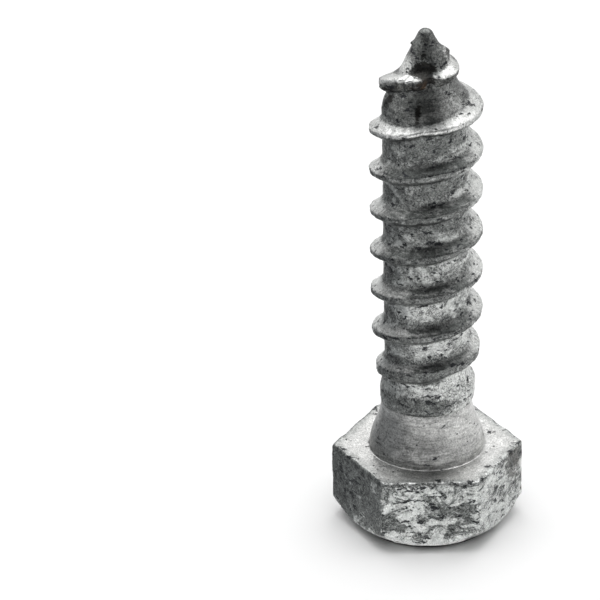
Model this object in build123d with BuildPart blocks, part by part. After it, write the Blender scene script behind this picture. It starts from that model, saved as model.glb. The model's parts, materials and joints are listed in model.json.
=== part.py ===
"""Hex lag screw, 3/8 in by 1 1/2 in, with a rolled coarse wood thread and a gimlet point.

The screw is one forging, so the hex head, flared neck, root core and thread ridge are one
solid. It stands on the free face of its head: the origin is the centre of that face, +Z
runs along the shank to the point, and +X runs through a corner of the hexagon. Sizes are
in millimetres and angles in degrees. Heights on the shank are from the bearing face, and
lengths at the point are from the tip.
"""

import os
from math import atan2, ceil, cos, degrees, radians, sin, tan

from build123d import *

# Head
across_flats = 14.2875  # 9/16 in
head_height = 6.9
chamfer_circle = 11.9  # diameter of the flat disc on the free face
chamfer_angle = 40.0  # from the free face
corner_round = 0.35  # on the six upright corners
edge_break = 0.25  # round the bearing face

# Shank
length = 38.1  # 1-1/2 in, from the bearing face to the tip
neck_diameter = 9.87  # where the neck leaves the bearing face
collar_height = 0.35  # before the neck starts to taper
neck_height = 3.9  # of the neck, where it has narrowed to the blank
neck_blend = 2.3  # radius where the neck runs into the blank
root_diameter = 7.34
blank_rise = 0.3  # how far the unrolled blank stands out from the root
shoulder_height = 7.5  # where the blank has given way to the root

# Point
point_angle = 51.0  # included angle of the core's cone
tip_radius = 0.64

# Thread, right-handed
thread_diameter = 9.525  # 3/8 in
pitch = 3.6286  # seven turns to the inch
crest_width = 0.46
flank_angle = 30.0  # each flank, from a plane square to the axis
ridge_sink = 0.15  # how far the ridge's base lies inside the core
run_out_start = 3.04  # height of the ridge's centre where it leaves the neck
run_out_sink = 0.15  # how far its crest lies inside the blank there
run_out_turns = 2.25  # over which the crest rises to full diameter
start_angle = 90.0  # round the axis from +X
point_crest_length = 5.9  # where the crest leaves full diameter
ridge_end_length = 1.2  # where the ridge ends inside the core
end_crest_sink = 0.28  # how far that end's crest lies inside the core
end_crest_width = 0.23
end_base_depth = 0.3  # from that end's crest to its base

flank_slope = tan(radians(flank_angle))
cone_slope = tan(radians(point_angle / 2))
ball_radius = tip_radius * cos(radians(point_angle / 2))  # where the ball meets the cone
ball_length = tip_radius * (1 - sin(radians(point_angle / 2)))
root_radius = root_diameter / 2
blank_radius = root_radius + blank_rise


def core_radius(from_tip):
    """Radius of the point's cone, which is tangent to the ball at the tip."""
    return ball_radius + (from_tip - ball_length) * cone_slope


def ridge_section(height, crest_radius, base_radius, width):
    """The ridge's four corners at one place, as (radius, z), from lower base to upper base."""
    half_base = width / 2 + (crest_radius - base_radius) * flank_slope
    centre = head_height + height
    return [
        (base_radius, centre - half_base),
        (crest_radius, centre - width / 2),
        (crest_radius, centre + width / 2),
        (base_radius, centre + half_base),
    ]


def between(near, far, share):
    """The section at a share of the way from one section to another."""
    return [(r + (R - r) * share, z + (Z - z) * share) for (r, z), (R, Z) in zip(near, far)]


def corner_helix(start, end, turns, angle):
    """A helix from one corner (radius, z) to another, on a cone where the radii differ."""
    rise = end[1] - start[1]
    cone_angle = degrees(atan2(end[0] - start[0], rise))
    helix = Helix(
        pitch=rise / turns / cos(radians(cone_angle)),
        height=rise,
        radius=start[0],
        center=(0, 0, start[1]),
        cone_angle=cone_angle,
    )
    return helix.rotate(Axis.Z, angle)


def end_face(section, angle):
    """The flat face that closes the ridge, in the half plane at an angle from +X."""
    across = (cos(radians(angle)), sin(radians(angle)), 0)
    square_to_it = (sin(radians(angle)), -cos(radians(angle)), 0)
    with BuildSketch(Plane(origin=(0, 0, 0), x_dir=across, z_dir=square_to_it)) as cap:
        with BuildLine():
            Polyline(*section, close=True)
        make_face()
    return cap.sketch.face()


def thread_ridge():
    """The ridge as one solid: it rises beside the neck, runs level and tapers to the point.

    Each face is ruled between two helices, and no face is longer than one turn.
    """
    crest_radius = thread_diameter / 2
    start_crest = blank_radius - run_out_sink
    start_width = crest_width + 2 * (crest_radius - start_crest) * flank_slope
    root_base = root_radius - ridge_sink
    # Where the crest starts to fall, the base's upper corner has to lie inside the cone.
    axis_corner = point_crest_length - crest_width / 2 - crest_radius * flank_slope
    point_base = (core_radius(axis_corner) - ridge_sink) / (1 - flank_slope * cone_slope)
    end_crest = core_radius(ridge_end_length) - end_crest_sink

    run_out_end = run_out_start + run_out_turns * pitch
    level_end = length - point_crest_length
    ridge_end = length - ridge_end_length
    sections = [
        ridge_section(run_out_start, start_crest, root_base, start_width),
        ridge_section(run_out_end, crest_radius, root_base, crest_width),
        ridge_section(level_end, crest_radius, point_base, crest_width),
        ridge_section(ridge_end, end_crest, end_crest - end_base_depth, end_crest_width),
    ]
    stage_turns = [
        run_out_turns,
        (level_end - run_out_end) / pitch,
        (ridge_end - level_end) / pitch,
    ]

    angle = start_angle
    faces = [end_face(sections[0], angle)]
    for near, far, turns in zip(sections, sections[1:], stage_turns):
        pieces = ceil(turns)
        for piece in range(pieces):
            lower = between(near, far, piece / pieces)
            upper = between(near, far, (piece + 1) / pieces)
            edges = [corner_helix(a, b, turns / pieces, angle) for a, b in zip(lower, upper)]
            for edge, next_edge in zip(edges, edges[1:] + edges[:1]):
                faces.append(Face.make_surface_from_curves(edge, next_edge))
            angle += 360 * turns / pieces
    faces.append(end_face(sections[-1], angle))
    return Solid(Shell(faces))


os.makedirs("parts", exist_ok=True)

ridge = thread_ridge()

with BuildPart() as lag_screw:
    # Hex head, with a corner on +X
    with BuildSketch():
        RegularPolygon(radius=across_flats / 2, side_count=6, major_radius=False)
    extrude(amount=head_height)
    fillet(lag_screw.edges().filter_by(Axis.Z), radius=corner_round)
    chamfer(lag_screw.faces().sort_by(Axis.Z)[-1].edges(), length=edge_break)

    # Conical chamfer that leaves a flat disc on the free face
    chamfer_run = across_flats - chamfer_circle / 2
    with BuildSketch(Plane.XZ):
        with BuildLine():
            Polyline(
                (chamfer_circle / 2, 0),
                (across_flats, 0),
                (across_flats, chamfer_run * tan(radians(chamfer_angle))),
                close=True,
            )
        make_face()
    revolve(axis=Axis.Z, mode=Mode.SUBTRACT)

    # Neck, blank, root and point, turned about the axis
    tip = head_height + length
    cone_length = (root_radius - core_radius(0)) / cone_slope
    with BuildSketch(Plane.XZ):
        with BuildLine():
            Polyline(
                (0, head_height / 2),
                (neck_diameter / 2, head_height / 2),
                (neck_diameter / 2, head_height + collar_height),
            )
            FilletPolyline(
                (neck_diameter / 2, head_height + collar_height),
                (blank_radius, head_height + neck_height),
                (root_radius, head_height + shoulder_height),
                radius=neck_blend,
            )
            Polyline(
                (root_radius, head_height + shoulder_height),
                (root_radius, tip - cone_length),
                (ball_radius, tip - ball_length),
            )
            CenterArc(
                center=(0, tip - tip_radius),
                radius=tip_radius,
                start_angle=point_angle / 2,
                arc_size=90 - point_angle / 2,
            )
            Line((0, tip), (0, head_height / 2))
        make_face()
    revolve(axis=Axis.Z)

    # Thread
    add(ridge)

lag_screw.part.label = "lag_screw"
export_step(lag_screw.part, "parts/lag_screw.step")
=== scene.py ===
"""Hex lag screw, hot-dip galvanised and weathered, standing on its head with the point up.

The screw is one forging, so it is one piece: the head, neck, core and thread are one closed
skin. Shapes are worked out in millimetres and scaled to metres at the end. Heights on the
shank are from the bearing face, and angles are in degrees round the axis from +X.
"""

import json
from math import atan, atan2, cos, degrees, exp, floor, hypot, pi, radians, sin, tan

import bmesh
import bpy
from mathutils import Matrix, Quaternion, Vector, noise


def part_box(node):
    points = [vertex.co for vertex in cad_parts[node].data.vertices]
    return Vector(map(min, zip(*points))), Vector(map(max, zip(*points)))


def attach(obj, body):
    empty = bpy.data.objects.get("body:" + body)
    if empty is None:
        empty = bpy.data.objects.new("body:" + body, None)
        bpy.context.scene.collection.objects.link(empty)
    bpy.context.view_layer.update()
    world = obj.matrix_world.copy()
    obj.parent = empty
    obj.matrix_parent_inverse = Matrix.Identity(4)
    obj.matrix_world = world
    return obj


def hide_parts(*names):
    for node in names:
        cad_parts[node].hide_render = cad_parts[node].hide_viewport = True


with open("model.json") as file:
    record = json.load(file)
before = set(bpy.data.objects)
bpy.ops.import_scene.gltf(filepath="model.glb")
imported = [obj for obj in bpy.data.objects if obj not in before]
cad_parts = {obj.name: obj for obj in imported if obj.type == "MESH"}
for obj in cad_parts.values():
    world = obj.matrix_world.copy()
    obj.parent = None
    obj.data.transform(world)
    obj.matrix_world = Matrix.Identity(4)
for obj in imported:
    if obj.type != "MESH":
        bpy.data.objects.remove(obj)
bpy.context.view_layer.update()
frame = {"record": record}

MM = 0.001
mounts = {mount["name"]: mount for mount in frame["record"]["mounts"]}
low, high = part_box("lag_screw")

# Head
across_flats = (high.y - low.y) / MM
head_height = mounts["bearing_face"]["pos_m"][2] / MM
chamfer_radius = 5.95
chamfer_slope = tan(radians(40))
corner_sharpness = 70  # higher is sharper
edge_round = 0.3

# Shank
length = high.z / MM - head_height
neck_radius = 4.935
neck_height = 4.45
waist_radius = 3.84  # at the top of the neck
blank_radius = 4.02
foot_fillet = 0.16  # round the neck's foot
root_radius = 3.62
shoulder_height = 7.5
cone_slope = tan(radians(25.5))
cone_end_radius = 0.404  # of the bare cone, at the height of the tip

# Thread
crest_radius = mounts["wood_thread"]["dims"]["r_mm"]
pitch = 3.6286
crest_width = 0.36
flank_slope = tan(radians(30))
run_out_start = 3.04
run_out_crest = 3.8
run_out_rise = 0.12  # of the crest, for each millimetre up the shank
point_crest_start = 32.2
point_crest_slope = 0.864

# Mesh
turn_steps = 168
pitch_steps = 36
head_columns = 288
head_rows = {"bearing": 16, "edge": 4, "side": 28, "chamfer": 10, "face": 10}
dome_rows = 7
dome_cut = 0.5  # below the tip, where the ball takes over from the helical skin

# Forms, stains and painted light and shade at one place on the shank. Each row is an amount, then
# the angle and the height of its middle, then how far it reaches each way.
extra_forms = (  # in millimetres, out from the axis
    (0.34, 2, 35.6, 34, 0.8),  # where the ridge ends on the cone
    (0.34, 358, 36.1, 34, 0.32),
    (0.2, 192, 32.3, 30, 0.9),  # a lump on the left
    (0.24, 182, 36.8, 15, 0.14),  # a burr
    (-0.25, 267, 35.15, 15, 0.4),  # a hollow beside the break in the last turn
)
# A painted sheen across the front of the neck, then a darker patch lower down
neck_patina_and_sheen = (
    (-0.1, 296, 2.8, 40, 1.4),
    (0.1, 258, 1.7, 30, 0.9),
)
core_patina = (
    (-0.28, 252, 14.1, 34, 0.9),
    (0.12, 312, 14.1, 24, 0.9),
    (-0.12, 245, 26, 40, 1.3),
    (-0.2, 310, 7.2, 22, 0.9),
)
dark_cluster = (  # on the blank in front, below the first turn and under its flank
    (1, 268, 5.5, 40, 0.5),
    (1, 262, 7.7, 40, 0.3),
)
# Black grime, with painted shade in the hollow and the break at the point
black_grime_and_shade = (
    (0.42, 262, 35.4, 36, 0.9),  # at the cone's foot, behind the last turn
    (0.6, 268, 34.98, 18, 0.5),
    (0.3, 250, 36.0, 26, 0.6),
    (0.72, 356, 36.0, 44, 0.55),  # where the ridge ends
    (0.55, 272, 34.4, 14, 0.8),  # in the break
    (0.4, 238, 34.9, 14, 0.5),
    (0.72, 256, 32.0, 5, 1.0),  # a streak under the break
    (0.72, 198, 32.3, 16, 0.8),  # on the lump
)
# Partly weathering and partly painted shade: darkest on the front-left flat and palest on the
# front-right
flat_patina_and_shade = (0.6, 0.5, 0.65, 0.82, 0.5, 0.37)  # on the head's flats, round from +X

finish_names = ("patina_and_painted_light", "satin", "grime_and_painted_shade", "rust")


def smooth_min(a, b, blend):
    """The lower of two values, rounded over where they are within blend of each other."""
    near = max(blend - abs(a - b), 0) / blend
    return min(a, b) - near * near * blend / 4


def smooth_max(a, b, blend):
    return -smooth_min(-a, -b, blend)


def mix(value, other, share):
    return value + (other - value) * share


def ease(start, end, value):
    """0 up to the start and 1 from the end on, with a smooth rise between them.

    The end may be below the start.
    """
    share = min(max((value - start) / (end - start), 0), 1)
    return share * share * (3 - 2 * share)


def bump_at(angle, height, at_angle, at_height, half_angle, half_height):
    """1 at one place on the shank, falling to nothing round it."""
    turn = (angle - at_angle + 180) % 360 - 180
    return exp(-((turn / half_angle) ** 2) - ((height - at_height) / half_height) ** 2)


def facing(angle, at_angle, half_angle):
    """1 along one side of the shank, falling to nothing round it."""
    return bump_at(angle, 0, at_angle, 0, half_angle, 1)


def spots(angle, height, rows):
    """What the rows of a table add up to at one place."""
    return sum(row[0] * bump_at(angle, height, *row[1:]) for row in rows)


def sides(angle):
    """How far a place faces left, right and to the front, each from 0 to 1."""
    across, away = cos(radians(angle)), sin(radians(angle))
    return max(-across, 0), max(across, 0), max(-away, 0)


def ridge_height(angle, height):
    """The height of the nearest turn's true centre line."""
    line = run_out_start + pitch * (angle - 90) / 360
    return line + pitch * floor((height - line) / pitch + 0.5)


def ridge_lift(angle, ridge):
    """How far a turn strays from its true line: the last one climbs, then dips on the right."""
    return (0.5 * bump_at(angle, ridge, 225, 33.3, 95, 0.9)
            - 0.2 * bump_at(angle, ridge, 0, 34.7, 50, 0.7)
            + 0.15 * bump_at(angle, ridge, 270, 30.1, 60, 0.8))


def core_radius(height):
    """The turned core: flared neck, blank, root and the cone of the point."""
    if height < neck_height:
        flare = (1 + cos(pi * height / neck_height)) / 2
        radius = mix(waist_radius, neck_radius, flare)
    else:
        on_blank = ease(neck_height, neck_height + 0.3, height)
        rolled_off = ease(neck_height + 0.8, shoulder_height, height)
        radius = mix(waist_radius, blank_radius, on_blank)
        radius -= (blank_radius - root_radius) * rolled_off
    cone = cone_end_radius + (length - height) * cone_slope
    return smooth_min(radius, cone, 0.3)


def crest_at(ridge):
    """The crest's radius, and the radius that its flanks aim at, where the ridge's centre is."""
    tapered = crest_radius - (ridge - point_crest_start) * point_crest_slope
    aim = smooth_min(crest_radius, tapered, 0.6)
    run_out = run_out_crest + (ridge - run_out_start) * run_out_rise
    return smooth_min(aim, run_out, 0.3), aim


def crest_wear(angle, ridge):
    """How far the crest is worn back: broad waves, and small nicks here and there."""
    right, front = sides(angle)[1:]
    spot = Vector((cos(radians(angle)), sin(radians(angle)), ridge / pitch)) * 2.2
    waves = 0.07 * (0.5 + noise.noise(spot * 0.9))
    nicks = 0.3 * max(noise.noise(spot * 3.8) - 0.15, 0) + 0.15 * max(noise.noise(spot * 5.5), 0)
    nicks *= 1 - 0.6 * right  # the right side is cleaner
    nicks += 0.4 * max(noise.noise(spot * 6.5), 0) * bump_at(angle, ridge, 235, 30.1, 50, 0.9)
    shallow = 0.2 * front ** 2  # the front was rolled less deep
    top_turn = 0.42 * bump_at(angle, ridge, 275, 30.1, 48, 0.9)
    # The last turn is torn on the left and broken through in front
    torn = bump_at(angle, ridge, 225, 33.6, 45, 0.6) * (0.12 + 0.5 * noise.noise(spot * 2.6))
    broken = 0.45 * bump_at(angle, ridge, 274, 34.0, 12, 0.6)
    return waves + nicks + shallow + top_turn + torn + broken


def shank_radius(angle, height):
    """The skin's distance from the axis: core and worn thread, and the forms at one place."""
    core = core_radius(height)
    ridge = ridge_height(angle, height)
    worn = crest_wear(angle, ridge)
    ridge += ridge_lift(angle, ridge)
    crest, aim = crest_at(ridge)
    above = height - ridge
    blunt = bump_at(angle, ridge, 205, 33.6, 50, 0.9)  # the last turn on the left
    sharp = bump_at(angle, ridge, 275, 30.1, 60, 0.9)  # the last full turn in front
    width = crest_width + 0.6 * blunt - 0.22 * sharp
    slope = flank_slope - (0.36 * blunt if above > 0 else 0)
    flank = aim - worn * (0.5 + 0.4 * sharp) + (width / 2 - abs(above)) / slope
    hump = smooth_min(crest - worn, flank, 0.22)
    # The upper flank runs into the root in a wide curve, and the lower one turns more sharply
    widening = min(max(crest - core, 0), 0.8) * ease(34.5, 32.5, ridge)
    radius = smooth_max(core, hump, 0.25 - 0.13 * blunt + ease(-0.2, 0.2, above) * widening)
    spot = Vector((4 * cos(radians(angle)), 4 * sin(radians(angle)), height))
    pocks = max(noise.noise(spot * 1.5), 0) * bump_at(angle, height, 200, 32.2, 40, 1.0)
    return radius + spots(angle, height, extra_forms) - 0.4 * pocks


def hexagon_radius(angle):
    """The head's outline, with corners on +X and every 60 degrees and softened by wear."""
    off_flat = radians(angle % 60 - 30)
    reach = (cos(off_flat) ** corner_sharpness
             + cos(abs(off_flat) - radians(60)) ** corner_sharpness) ** (1 / corner_sharpness)
    return across_flats / 2 / reach


def spun_chain(bm, heights, steps, rise):
    """A chain of edges on the unit cylinder, spun once about the axis and lifted as it turns."""
    verts = [bm.verts.new((1, 0, height)) for height in heights]
    edges = [bm.edges.new(pair) for pair in zip(verts, verts[1:])]
    bmesh.ops.spin(
        bm, geom=verts + edges, cent=(0, 0, 0), axis=(0, 0, 1), dvec=(0, 0, rise / steps),
        angle=2 * pi, steps=steps, use_merge=False, use_duplicate=False)


def only(kind, geometry):
    return [item for item in geometry if isinstance(item, kind)]


def rim(bm, height):
    """The open edges at one height."""
    return [edge for edge in bm.edges if edge.is_boundary
            and all(abs(vert.co.z - height) < 1e-3 for vert in edge.verts)]


def shank_skin():
    """The shank as one helical skin, with its rows along the thread so that crests stay clean."""
    bm = bmesh.new()
    shares = [2 * step / pitch_steps - 1 for step in range(pitch_steps + 1)]
    first = head_height + ridge_height(0, 0) - pitch
    # Rows are closer together at the crest
    heights = [first + pitch / 2 * (0.65 * share + 0.35 * share ** 3) for share in shares]
    spun_chain(bm, heights, turn_steps, pitch)
    one_turn = bm.verts[:] + bm.edges[:] + bm.faces[:]
    for turn in range(1, int(length / pitch) + 3):
        copied = bmesh.ops.duplicate(bm, geom=one_turn)["geom"]
        bmesh.ops.translate(bm, vec=(0, 0, turn * pitch), verts=only(bmesh.types.BMVert, copied))
    bmesh.ops.remove_doubles(bm, verts=bm.verts, dist=1e-3)
    for height, side in ((head_height, 1), (head_height + length - dome_cut, -1)):
        bmesh.ops.bisect_plane(
            bm, geom=bm.verts[:] + bm.edges[:] + bm.faces[:], dist=1e-4,
            plane_co=(0, 0, height), plane_no=(0, 0, side), clear_inner=True)
    for vert in bm.verts:
        x, y, z = vert.co
        radius = shank_radius(degrees(atan2(y, x)), z - head_height) / hypot(x, y)
        vert.co = (x * radius, y * radius, z)
    return bm


def dome(bm):
    """Closes the point with rings that run up a ball to one vertex."""
    edges = rim(bm, head_height + length - dome_cut)
    lean = atan(cone_slope)
    ball = core_radius(length - dome_cut) / cos(lean)
    centre = head_height + length - dome_cut - ball * sin(lean)
    for row in range(1, dome_rows + 1):
        swing = mix(lean, pi / 2, row / dome_rows)
        grown = bmesh.ops.extrude_edge_only(bm, edges=edges)["geom"]
        edges = [edge for edge in only(bmesh.types.BMEdge, grown) if edge.is_boundary]
        for vert in only(bmesh.types.BMVert, grown):
            angle = atan2(vert.co.y, vert.co.x)
            radius = ball * cos(swing) if row < dome_rows else 0.0
            vert.co = (radius * cos(angle), radius * sin(angle), centre + ball * sin(swing))
    top = [vert for vert in bm.verts if hypot(*vert.co.xy) < 1e-3]
    bmesh.ops.remove_doubles(bm, verts=top, dist=0.05)


def head_point(angle, part, share):
    """A point on the head, as (radius, z), at a share of the way along one of its parts."""
    reach = hexagon_radius(angle)
    around = Vector((cos(radians(angle)), sin(radians(angle)), 0)) * 5
    softened = edge_round * (1 + 0.9 * noise.noise(around))
    chamfer_top = (reach - chamfer_radius) * chamfer_slope
    if part == "bearing":
        return mix(neck_radius + foot_fillet, reach - softened, share), head_height
    if part == "edge":
        return (reach - softened * (1 - sin(share * pi / 2)),
                head_height - softened * (1 - cos(share * pi / 2)))
    if part == "side":
        return reach, mix(head_height - softened, chamfer_top, share)
    if part == "chamfer":
        return mix(reach, chamfer_radius, share), chamfer_top * (1 - share)
    return chamfer_radius * (1 - share), 0.0


def head_skin(bm):
    """The head, turned as rings and then pressed out to the hexagon."""
    rings = [(part, row / rows) for part, rows in head_rows.items() for row in range(rows)]
    rings.append(("face", 1))
    old = set(bm.verts)
    spun_chain(bm, [-1 - index for index in range(len(rings))], head_columns, 0)
    new = [vert for vert in bm.verts if vert not in old]
    for vert in new:
        spun = atan2(vert.co.y, vert.co.x)
        angle = spun - 0.4 / 6 * sin(6 * spun)  # columns crowd towards the corners
        part, share = rings[round(-1 - vert.co.z)]
        radius, z = head_point(degrees(angle), part, share)
        vert.co = (radius * cos(angle), radius * sin(angle), z)
    bmesh.ops.remove_doubles(bm, verts=new, dist=1e-4)


def zinc_lumps(bm):
    """Uneven zinc and knocks, moved in or out along each vertex's normal.

    Faces that look up are smoother, because the zinc ran level there.
    """
    bm.normal_update()
    for vert in bm.verts:
        spot = vert.co.copy()
        if spot.z < 0.02:  # the free face stays flat
            continue
        on_neck = 0 <= spot.z - head_height < neck_height and hypot(*spot.xy) < neck_radius + 0.2
        rough = 0.3 if on_neck else 1 - 0.75 * ease(0.1, 0.6, vert.normal.z)
        lumps = (noise.noise(spot * 0.9) + 0.5 * noise.noise(spot * 2.3)
                 + 0.32 * noise.noise(spot * 4.5))
        pits = max(noise.noise(spot * 3.1 + Vector((7, 3, 1))) - 0.38, 0) * 0.35
        inward = 0 if on_neck else pits * rough
        vert.co += vert.normal * (0.045 * rough * (lumps - 0.9) - inward)


def neck_step_shadow(height, front):
    """A painted shadow line where the blank starts above the neck and overhangs it, stronger in
    front.
    """
    return exp(-((height - neck_height) / 0.07) ** 2) * (0.3 + 0.7 * front)


def neck_finish(angle, height):
    """Patina, satin, grime and rust on the neck, as for the rest of the shank. The neck is paler
    on the right as painted light, with a painted sheen across its front and the painted shadow
    line at its top.
    """
    _, right, front = sides(angle)
    patina_and_painted_light = 0.54 - 0.24 * right + 0.1 * front * ease(2.6, 0.9, height)
    patina_and_painted_light += spots(angle, height, neck_patina_and_sheen)
    return patina_and_painted_light, 1.0, 0.45 * neck_step_shadow(height, front), 0.0


def last_turns(angle, height, ridge, rise):
    """How far a place is bare zinc on the last two turns, made paler where the lamp's highlight
    falls as a painted highlight, and how far it is their dark lip of painted shade under the
    crest.
    """
    above = height - ridge
    painted_highlight = min(2 * bump_at(angle, ridge, 258, 30.1, 76, 1.2)
                + 1.6 * bump_at(angle, ridge, 208, 33.7, 42, 0.9)
                + 1.6 * bump_at(angle, ridge, 332, 34.6, 32, 0.8), 1)
    bare_zinc_and_highlight = min(bump_at(angle, height, 200, 35.1, 34, 0.8)
                 + painted_highlight * ease(0.1, 0.3, rise) * ease(-0.1, 0.05, above), 1)
    shaded_lip = max(ease(0.34, 0.1, above) * min(2 * bump_at(angle, ridge, 246, 33.7, 38, 0.9), 1),
              ease(0.26, 0.1, above) * min(2 * bump_at(angle, ridge, 316, 34.4, 34, 0.6), 1))
    shaded_lip *= ease(-1.1, -0.8, above) * ease(0.2, 0.5, rise)
    return bare_zinc_and_highlight * (1 - shaded_lip), shaded_lip


def shank_finish(angle, height, radius):
    """Patina, satin, grime and rust on the shank. Patina and grime also carry painted light and
    shade.

    Each is 0 for none and 1 for full, and patina may go a little past either end.
    """
    if height < neck_height:
        return neck_finish(angle, height)
    left, right, front = sides(angle)
    ridge = ridge_height(angle, height)
    ridge += ridge_lift(angle, ridge)
    above = height - ridge
    core = core_radius(height)
    depth = max(crest_at(ridge)[0] - crest_wear(angle, ridge) - core, 0)
    rise = min(max((radius - core) / max(depth, 0.2), 0), 1)  # from the root to the crest

    # Zones: the two flanks of a turn, the band between turns, the point and the last turns
    lumpy = bump_at(angle, height, 192, 32.3, 36, 1.1) + bump_at(angle, height, 2, 35.7, 36, 0.9)
    upper = ease(0.06, 0.3, rise) * ease(0.1, 0.4, depth) * ease(0.02, 0.18, above)
    upper *= (1 - ease(0.88, 1.0, rise)) * (1 - min(lumpy * 1.6, 1))
    under = ease(0.15, 0.35, rise) * ease(0.2, 0.5, depth) * ease(-0.08, -0.28, above)
    band = ease(1.1, 1.9, above % pitch) * ease(3.3, 2.9, above % pitch)
    on_point = ease(30.6, 31.4, height)
    bare_point = on_point * (1 - upper)
    bare_zinc_and_highlight, shaded_lip = last_turns(angle, height, ridge, rise)

    # The core is darker near the point in front, and paler on the right as painted light from
    # that side. The blank is pale under the first turn, with a dark cluster lower down in front.
    darker_near_point = facing(angle, 282, 48) * ease(19.5, 22, height) * (0.1 + 0.9 * band)
    cluster = spots(angle, height, dark_cluster)
    patina_and_painted_light = 0.61 - 0.1 * right - 0.42 * right * ease(9.5, 6.5, height)
    patina_and_painted_light += 0.2 * darker_near_point - 0.18 * right * ease(21, 26, height) * (1 - 0.5 * band)
    patina_and_painted_light += 0.07 * facing(angle, 262, 36) * ease(13, 11, height)
    patina_and_painted_light -= 0.14 * (ease(24, 16, height) + ease(15, 12, height)) * band * (1 - left)
    patina_and_painted_light += spots(angle, height, core_patina)
    patina_and_painted_light += 0.4 * cluster - 0.2 * ease(5.8, 6.4, height) * ease(7.6, 7.1, height) * (1 - left)
    satin = 0.32

    # The upper flanks are satin. In front their patina is raised as painted shade, standing for
    # the dark core they mirror above them. The lower flanks are darkened, partly dirt and partly
    # painted shade.
    painted_front_shade = 0.95 * ease(0.1, 0.8, front) + 0.2 * bump_at(angle, height, 272, 27, 40, 1.0)
    painted_front_shade -= 0.35 * facing(angle, 228, 22) * ease(18, 14, height)
    patina_and_painted_light = mix(patina_and_painted_light, 0.04 + painted_front_shade, upper)
    satin = mix(satin, 0.45 + 0.3 * front, upper)
    # The crests are a little darker in front, as painted shade
    patina_and_painted_light += 0.12 * front * ease(0.85, 1, rise) * (1 - upper)
    patina_and_painted_light = mix(patina_and_painted_light, 0.76, under)
    satin = mix(satin, 0.45, under)

    # The point is nearly black, but paler on the left and on the right, which is painted light
    painted_light_strips = (0.2 * bump_at(angle, height, 215, 32.1, 26, 1.1)
             + 0.4 * bump_at(angle, height, 310, 32.2, 26, 1.6))
    smoother = 0.3 * bump_at(angle, height, 265, 31.8, 28, 1.5)
    patina_and_painted_light = mix(patina_and_painted_light, 1.0 - 0.2 * right - painted_light_strips, bare_point)
    satin = mix(satin, 0.44 + smoother, bare_point)

    # The last turns are bare zinc above, made paler where the lamp's highlight falls as a painted
    # highlight, with a dark lip of painted shade under the crest
    highlight_peak = max(bump_at(angle, ridge, 285, 30.1, 40, 1.0),
                    bump_at(angle, ridge, 243, 33.8, 16, 0.8),
                    0.5 * bump_at(angle, ridge, 325, 34.6, 26, 0.6),
                    bump_at(angle, height, 215, 35.2, 30, 0.8))
    dimmed_highlight = bump_at(angle, ridge, 237, 30.1, 12, 1.0)
    patina_and_painted_light = mix(patina_and_painted_light, 0.28 * dimmed_highlight - 0.18 * highlight_peak, bare_zinc_and_highlight)
    satin = mix(satin, 0.55, bare_zinc_and_highlight)
    patina_and_painted_light = mix(patina_and_painted_light, 1.0, shaded_lip)

    # Grime and painted shade are thickest where the core meets the flank below it. The left side
    # and the point are painted a little darker, as shade.
    corner_dirt_and_shade = exp(-((above - 0.95) / 0.3) ** 2) * ease(0.3, 0.8, depth)
    grime_and_painted_shade = 0.3 * corner_dirt_and_shade + 0.12 * under + 0.04 * left + 0.1 * bare_point * (1 - right)
    grime_and_painted_shade += 0.45 * neck_step_shadow(height, front)
    grime_and_painted_shade = grime_and_painted_shade * (1 - bare_zinc_and_highlight) + 0.3 * shaded_lip + 0.34 * cluster
    grime_and_painted_shade += 0.45 * facing(angle, 197, 13) * band * ease(30, 28.5, height)
    grime_and_painted_shade += 0.3 * darker_near_point * ease(31, 30, height)
    grime_and_painted_shade += spots(angle, height, black_grime_and_shade)
    rust = bump_at(angle, height, 265, 34.0, 9, 0.3) + 0.04 * on_point + 0.1 * shaded_lip
    return patina_and_painted_light, satin, min(grime_and_painted_shade, 1), min(rust, 1)


def head_finish(angle, z, radius):
    """The same four on the head. The flats differ partly as each weathered on its own and partly
    by painted shade, darkest on the front-left flat and palest on the front-right.
    """
    reach = hexagon_radius(angle)
    if radius < reach - 0.85 * edge_round and z > head_height / 2:
        # In front of the neck the bearing face is darkened, a painted reflection of the neck
        neck_reflection = bump_at(angle, radius, 270, neck_radius, 50, 1.2)
        near_edge = ease(reach - 1.2, reach - 0.2, radius)
        patina_and_painted_light = 0.06 + 0.38 * neck_reflection + 0.3 * near_edge
        return patina_and_painted_light, 0.85 - 0.4 * near_edge, 0.14 * near_edge, 0.0
    place = angle % 360 / 60
    here, onward = flat_patina_and_shade[int(place)], flat_patina_and_shade[(int(place) + 1) % 6]
    patina_and_painted_light = mix(here, onward, ease(0.94, 1, place % 1))
    edge = exp(-((z - head_height + 0.25) / 0.38) ** 2)
    corner = exp(-((abs(angle % 60 - 30) - 30) / 1.0) ** 2)
    high_right = bump_at(angle, z, 350, head_height - 1.4, 10, 1.5)
    in_front = ease(236, 244, angle % 360)
    # The lowest rim of the chamfer is darkened as painted shade, where it mirrors the shadowed
    # floor under the head
    foot_shade = ease(0.6, 0.15, z)
    patina_and_painted_light += 0.3 * high_right - 0.1 * ease(3.4, 1.2, z) + 0.3 * foot_shade
    grime_and_painted_shade = max((0.3 + 0.2 * in_front) * edge, 0.48 * corner, 0.4 * high_right, 0.75 * foot_shade)
    return patina_and_painted_light, 0.0, grime_and_painted_shade, 0.35 * high_right


def finish_layers(mesh):
    """Keeps each point's finish with the mesh, because the zones follow the thread and flats."""
    layers = [mesh.attributes.new(name, "FLOAT", "POINT") for name in finish_names]
    for vert in mesh.vertices:
        x, y, z = vert.co / MM
        angle, radius = degrees(atan2(y, x)), hypot(x, y)
        on_shank = z > head_height + 0.02 or (z > head_height - 0.1 and radius < neck_radius)
        values = (shank_finish(angle, z - head_height, radius) if on_shank
                  else head_finish(angle, z, radius))
        for layer, value in zip(layers, values):
            layer.data[vert.index].value = value


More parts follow.
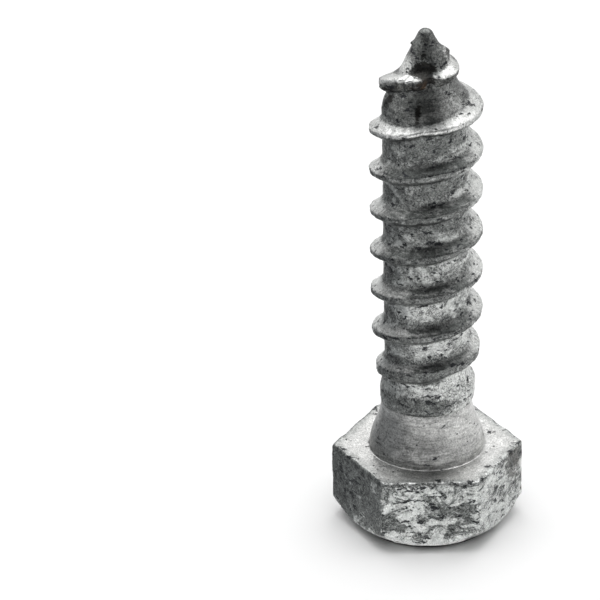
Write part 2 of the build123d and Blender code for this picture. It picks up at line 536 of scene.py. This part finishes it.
def new_object(name, data):
    made = bpy.data.objects.new(name, data)
    bpy.context.scene.collection.objects.link(made)
    return made


def mesh_object(name, bm):
    mesh = bpy.data.meshes.new(name)
    bm.to_mesh(mesh)
    bm.free()
    return new_object(name, mesh)


def lag_screw():
    bm = shank_skin()
    dome(bm)
    head_skin(bm)
    bmesh.ops.bridge_loops(bm, edges=rim(bm, head_height))
    bmesh.ops.recalc_face_normals(bm, faces=bm.faces)
    zinc_lumps(bm)
    bmesh.ops.triangulate(bm, faces=[face for face in bm.faces if len(face.verts) > 4])
    bmesh.ops.scale(bm, vec=(MM, MM, MM), verts=bm.verts)
    piece = mesh_object("galvanised_lag_screw", bm)
    piece.data.shade_smooth()
    finish_layers(piece.data)
    return piece


def linear(colour):
    """An sRGB hex colour as linear RGBA."""
    parts = [int(colour[i:i + 2], 16) / 255 for i in (1, 3, 5)]
    return [part / 12.92 if part <= 0.04045 else ((part + 0.055) / 1.055) ** 2.4
            for part in parts] + [1]


def add(tree, kind, inputs=(), **settings):
    """Adds a node with its settings. Inputs are values, or outputs of other nodes to link.

    An input is given by its name, or by its number where that is shorter or its name isn't the
    only one. In Map Range, 1 and 2 are the ends it reads, and 3 and 4 those it gives. In Mix, 0
    is the factor, 2 and 3 are values and 6 and 7 colours.
    """
    node = tree.nodes.new("ShaderNode" + kind)
    for name, value in settings.items():
        setattr(node, name, value)
    for socket, value in dict(inputs).items():
        if isinstance(value, bpy.types.NodeSocket):
            tree.links.new(value, node.inputs[socket])
        else:
            node.inputs[socket].default_value = value
    return node


def new_material(name):
    material = bpy.data.materials.new(name)
    material.use_nodes = True
    material.node_tree.nodes.clear()
    return material, material.node_tree


def per_mm(size):
    """A texture's scale for features of a size in millimetres, on coordinates in metres."""
    return 1 / (size * MM)


def galvanised_steel():
    """Hot-dip zinc on forged steel, weathered outdoors.

    The zinc froze in thin overlapping flakes, so it is pale and half matt. Where it has weathered
    it is a dark grey patina, with black grime and painted shade in the thread's corners. The
    patina and grime attributes also carry painted light and shade: darker fronts, lips and
    undersides, and paler strips and highlights. The neck, the bearing face and the upper flanks
    are smoother, so they mirror what is next to them.
    """
    material, tree = new_material("hot_dip_zinc")
    place = add(tree, "TexCoord").outputs["Object"]
    patina_and_painted_light, satin, grime_and_painted_shade, rust = (
        add(tree, "Attribute", attribute_name=name).outputs["Fac"] for name in finish_names)

    # Pale flakes, about 2 mm across on the head and smaller on the shank, with old zinc
    # where their pattern falls below its share
    flowed = add(tree, "Mapping", {
        "Vector": place, "Location": (0.004, 0, 0.002), "Scale": (0.8, 0.8, 1.15)})
    flakes = add(tree, "TexNoise", {
        "Vector": flowed.outputs[0], "Scale": per_mm(1.7), "Detail": 10, "Roughness": 0.72,
        "Distortion": 0.8})
    chips = add(tree, "TexNoise", {
        "Vector": place, "Scale": per_mm(0.9), "Detail": 8, "Roughness": 0.8, "Distortion": 0.9})
    on_shank = add(tree, "MapRange", {0: satin, 1: 0.15, 2: 0.3})
    chipped = add(tree, "Mix", {0: 0.65, 2: flakes.outputs["Fac"], 3: chips.outputs["Fac"]})
    pattern = add(tree, "Mix", {
        0: on_shank.outputs[0], 2: flakes.outputs["Fac"], 3: chipped.outputs[0]})
    share = add(tree, "MapRange", {0: patina_and_painted_light, 1: 0, 2: 1, 3: -0.2, 4: 0.2})
    covered = add(tree, "Math", {0: pattern.outputs[0], 1: share.outputs[0]}, operation="ADD")
    dark = add(tree, "MapRange", {0: covered.outputs[0], 1: 0.46, 2: 0.54})
    clouds = add(tree, "TexNoise", {
        "Vector": place, "Scale": per_mm(0.7), "Detail": 6, "Roughness": 0.7})
    cloudy = add(tree, "MapRange", {0: clouds.outputs["Fac"], 1: 0.35, 2: 0.65})
    pale_zinc = add(tree, "Mix", {
        0: cloudy.outputs[0], 6: linear("#BABDBB"), 7: linear("#DEE0DE")}, data_type="RGBA")
    old_zinc = add(tree, "Mix", {
        0: cloudy.outputs[0], 6: linear("#5F6160"), 7: linear("#8F9290")}, data_type="RGBA")
    flaky = add(tree, "Mix", {
        0: dark.outputs[0], 6: pale_zinc.outputs[2], 7: old_zinc.outputs[2]}, data_type="RGBA")

    # Smooth zinc, paler or darker with the patina, over fine rings left by turning
    flat_place = add(tree, "Mapping", {"Vector": place, "Scale": (0.12, 0.12, 1)})
    rings = add(tree, "TexNoise", {
        "Vector": flat_place.outputs[0], "Scale": per_mm(0.16), "Detail": 5, "Roughness": 0.7})
    ringed = add(tree, "MapRange", {0: rings.outputs["Fac"], 1: 0.3, 2: 0.7, 3: 0.24, 4: -0.24})
    stained = add(tree, "MapRange", {0: chipped.outputs[0], 1: 0.35, 2: 0.65, 3: 0.26, 4: -0.26})
    both = add(tree, "Math", {0: ringed.outputs[0], 1: stained.outputs[0]}, operation="ADD")
    toned = add(tree, "Math", {0: both.outputs[0], 1: patina_and_painted_light}, operation="ADD")
    greyed = add(tree, "MapRange", {0: toned.outputs[0], 1: -0.3, 2: 1})
    plain = add(tree, "Mix", {
        0: greyed.outputs[0], 6: linear("#F4F4F2"), 7: linear("#3A3C3B")}, data_type="RGBA")
    smooth = add(tree, "MapRange", {0: satin, 1: 0.2, 2: 0.85})
    coat = add(tree, "Mix", {
        0: smooth.outputs[0], 6: flaky.outputs[2], 7: plain.outputs[2]},
        data_type="RGBA").outputs[2]

    # Grime and painted shade with a ragged edge, and rust
    long_place = add(tree, "Mapping", {"Vector": place, "Scale": (0.5, 0.5, 1)})
    torn = add(tree, "TexNoise", {
        "Vector": long_place.outputs[0], "Scale": per_mm(0.4), "Detail": 8, "Roughness": 0.8})
    tear = add(tree, "MapRange", {0: torn.outputs["Fac"], 1: 0.28, 2: 0.72})
    ragged = add(tree, "Math", {0: tear.outputs[0], 1: grime_and_painted_shade}, operation="ADD")
    grimed_and_shaded = add(tree, "MapRange", {0: ragged.outputs[0], 1: 0.93, 2: 1.17, 3: 0, 4: 0.9})
    coat = add(tree, "Mix", {0: grimed_and_shaded.outputs[0], 6: coat, 7: linear("#141413")},
               data_type="RGBA").outputs[2]
    rusty = add(tree, "Math", {0: rust, 1: cloudy.outputs[0]}, operation="MULTIPLY")
    coat = add(tree, "Mix", {0: rusty.outputs[0], 6: coat, 7: linear("#5F4B3A")},
               data_type="RGBA").outputs[2]

    # Fine speckle all over, drawn at 0.15 mm so that it shows
    speckle = add(tree, "TexNoise", {
        "Vector": place, "Scale": per_mm(0.15), "Detail": 2, "Roughness": 0.8})
    speckled = add(tree, "MapRange", {
        0: speckle.outputs["Fac"], 1: 0.32, 2: 0.68, 3: 0.36, 4: 1.5})
    grain = add(tree, "MapRange", {0: dark.outputs[0], 1: 0, 2: 1, 3: 0.55, 4: 1})
    strength = add(tree, "MapRange", {0: satin, 1: 0.4, 2: 1, 3: grain.outputs[0], 4: 0.65})
    coat = add(tree, "Mix", {0: strength.outputs[0], 6: coat, 7: speckled.outputs[0]},
               data_type="RGBA", blend_type="MULTIPLY").outputs[2]

    # Dark hairlines round the flakes, and black pits a little longer than high
    swirl = add(tree, "TexNoise", {
        "Vector": place, "Scale": per_mm(0.55), "Detail": 4, "Roughness": 0.65,
        "Distortion": 1.2})
    off_line = add(tree, "Math", {0: swirl.outputs["Fac"], 1: 0.5}, operation="SUBTRACT")
    off_line = add(tree, "Math", {0: off_line.outputs[0]}, operation="ABSOLUTE")
    line = add(tree, "MapRange", {0: off_line.outputs[0], 1: 0.012, 2: 0.044, 3: 0.8, 4: 0})
    here_only = add(tree, "MapRange", {0: flakes.outputs["Fac"], 1: 0.42, 2: 0.52})
    line = add(tree, "Math", {0: line.outputs[0], 1: here_only.outputs[0]}, operation="MULTIPLY")
    rough_only = add(tree, "MapRange", {0: satin, 1: 0.4, 2: 0.75, 3: 1, 4: 0})
    line = add(tree, "Math", {0: line.outputs[0], 1: rough_only.outputs[0]}, operation="MULTIPLY")
    coat = add(tree, "Mix", {0: line.outputs[0], 6: coat, 7: linear("#2C2D2E")},
               data_type="RGBA").outputs[2]
    pits = add(tree, "TexNoise", {
        "Vector": long_place.outputs[0], "Scale": per_mm(0.42), "Detail": 3, "Roughness": 0.65})
    fewer = add(tree, "MapRange", {0: satin, 1: 0.4, 2: 1, 3: 0, 4: -0.06})
    deep = add(tree, "Math", {0: pits.outputs["Fac"], 1: fewer.outputs[0]}, operation="ADD")
    pitted = add(tree, "MapRange", {0: deep.outputs[0], 1: 0.58, 2: 0.625, 3: 0, 4: 0.92})
    coat = add(tree, "Mix", {0: pitted.outputs[0], 6: coat, 7: linear("#26272A")},
               data_type="RGBA").outputs[2]

    # Metal, half matt, with the old zinc a little lower than the flakes
    dull = add(tree, "MapRange", {0: dark.outputs[0], 1: 0, 2: 1, 3: 0.4, 4: 0.5})
    shine = add(tree, "Mix", {0: satin, 2: dull.outputs[0], 3: 0.33})
    height = add(tree, "Math", {0: dark.outputs[0], 1: speckle.outputs["Fac"]},
                 operation="SUBTRACT")
    relief = add(tree, "MapRange", {0: satin, 1: 0.3, 2: 1, 3: 0.4, 4: 0.05})
    bump = add(tree, "Bump", {
        "Height": height.outputs[0], "Strength": relief.outputs[0], "Distance": 0.03 * MM},
        invert=True)
    metal = add(tree, "BsdfPrincipled", {
        "Base Color": coat, "Metallic": 1.0, "Roughness": shine.outputs[0],
        "Normal": bump.outputs["Normal"]})
    add(tree, "OutputMaterial", {"Surface": metal.outputs[0]})
    return material


def white_ground():
    """A plain white ground that keeps the shadow."""
    bm = bmesh.new()
    bmesh.ops.create_grid(bm, x_segments=1, y_segments=1, size=2)
    ground = mesh_object("ground", bm)
    material, tree = new_material("white_card")
    card = add(tree, "BsdfDiffuse", {"Color": linear("#F6F6F6")})
    glow = add(tree, "Emission", {"Color": linear("#FFFFFF"), "Strength": 0.03})
    rays = add(tree, "LightPath")
    seen = add(tree, "Math", {0: rays.outputs["Is Camera Ray"], 1: rays.outputs["Is Glossy Ray"]},
               operation="MAXIMUM")
    none = add(tree, "Emission", {"Strength": 0.0})
    lift = add(tree, "MixShader", {0: seen.outputs[0], 1: none.outputs[0], 2: glow.outputs[0]})
    both = add(tree, "AddShader", {0: card.outputs[0], 1: lift.outputs[0]})
    add(tree, "OutputMaterial", {"Surface": both.outputs[0]})
    ground.data.materials.append(material)


def white_surround():
    """A white background that the metal mirrors and that lights the shadows only a little."""
    world = bpy.data.worlds.new("white_surround")
    bpy.context.scene.world = world
    world.use_nodes = True
    tree = world.node_tree
    tree.nodes.clear()
    rays = add(tree, "LightPath")
    seen = add(tree, "Math", {0: rays.outputs["Is Camera Ray"], 1: rays.outputs["Is Glossy Ray"]},
               operation="MAXIMUM")
    through = add(tree, "Math", {0: seen.outputs[0], 1: rays.outputs["Is Transmission Ray"]},
                  operation="MAXIMUM")
    fill = add(tree, "Background", {"Color": linear("#FFFFFF"), "Strength": 0.12})
    white = add(tree, "Background", {"Color": linear("#FFFFFF"), "Strength": 1.0})
    mixed = add(tree, "MixShader", {
        0: through.outputs[0], 1: fill.outputs[0], 2: white.outputs[0]})
    add(tree, "OutputWorld", {"Surface": mixed.outputs[0]})


def towards(azimuth, elevation):
    """The way out from the screw. Azimuth 0 is to the front, and 90 is to the right."""
    turn, lift = radians(azimuth), radians(elevation)
    return Vector((sin(turn) * cos(lift), -cos(turn) * cos(lift), sin(lift)))


def shade_card(name, centre, width, height, azimuth, elevation, tone):
    """A card by the screw, dark in the middle and white at its rim. Only the metal shows it."""
    bm = bmesh.new()
    bmesh.ops.create_grid(bm, x_segments=1, y_segments=1, size=0.5)
    bmesh.ops.scale(bm, vec=(width * MM, height * MM, 1), verts=bm.verts)
    card = mesh_object(name, bm)
    card.location = Vector(centre) * MM
    card.rotation_euler = towards(azimuth, elevation).to_track_quat("Z", "Y").to_euler()
    material, tree = new_material(name)
    across = add(tree, "Mapping", {
        "Vector": add(tree, "TexCoord").outputs["Object"],
        "Scale": (2 / (width * MM), 2 / (height * MM), 1)})
    inward = add(tree, "TexGradient", {"Vector": across.outputs[0]}, gradient_type="SPHERICAL")
    share = add(tree, "MapRange", {0: inward.outputs["Fac"], 1: 0, 2: 0.65},
                interpolation_type="SMOOTHSTEP")
    shade = add(tree, "Mix", {0: share.outputs[0], 6: linear("#FFFFFF"), 7: linear(tone)},
                data_type="RGBA")
    matt = add(tree, "Emission", {"Color": shade.outputs[2], "Strength": 1.0})
    add(tree, "OutputMaterial", {"Surface": matt.outputs[0]})
    card.data.materials.append(material)
    card.visible_camera = card.visible_diffuse = card.visible_shadow = False


def softbox(name, azimuth, elevation, distance, size, watts, in_metal=True):
    """An area lamp aimed at the screw. The metal takes no light from one that isn't in_metal."""
    lamp = bpy.data.lights.new(name, "AREA")
    lamp.shape = "DISK"
    lamp.size = size
    lamp.energy = watts
    box = new_object(name, lamp)
    out = towards(azimuth, elevation)
    box.location = Vector((0, 0, high.z / 2)) + out * distance
    box.rotation_euler = out.to_track_quat("Z", "Y").to_euler()
    box.visible_glossy = in_metal


def camera():
    """A long lens from in front and above, aimed left of the screw."""
    lens = bpy.data.cameras.new("camera")
    lens.lens = 188.2
    lens.sensor_width = 36
    lens.clip_start, lens.clip_end = 0.01, 10
    eye = new_object("camera", lens)
    aim, distance, roll = Vector((-10.587, -0.045, 20.79)), 262.46, radians(-1.377)
    back = towards(0.243, 26.598)
    eye.location = (aim + back * distance) * MM
    eye.rotation_mode = "QUATERNION"
    eye.rotation_quaternion = back.to_track_quat("Z", "Y") @ Quaternion((0, 0, 1), roll)
    bpy.context.scene.camera = eye


white_ground()
white_surround()
softbox("overhead", 170, 88, 0.55, 1.1, 4.3)
softbox("behind", 170, 80, 0.6, 0.24, 0.2)
softbox("ground_light", 170, 75, 0.6, 0.9, 1.9, in_metal=False)
shade_card("left_card", (-24, 6, 17), 100, 60, -90, 0, "#96989A")
shade_card("left_floor_card", (-17, 8, 0.3), 40, 44, 0, 90, "#B4B6B8")
shade_card("front_card", (0, -200, 200), 800, 420, 0, 42, "#323436")
screw = lag_screw()
screw.data.materials.append(galvanised_steel())
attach(screw, "root")
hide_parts("lag_screw")
camera()
bpy.context.scene.view_settings.view_transform = "Standard"
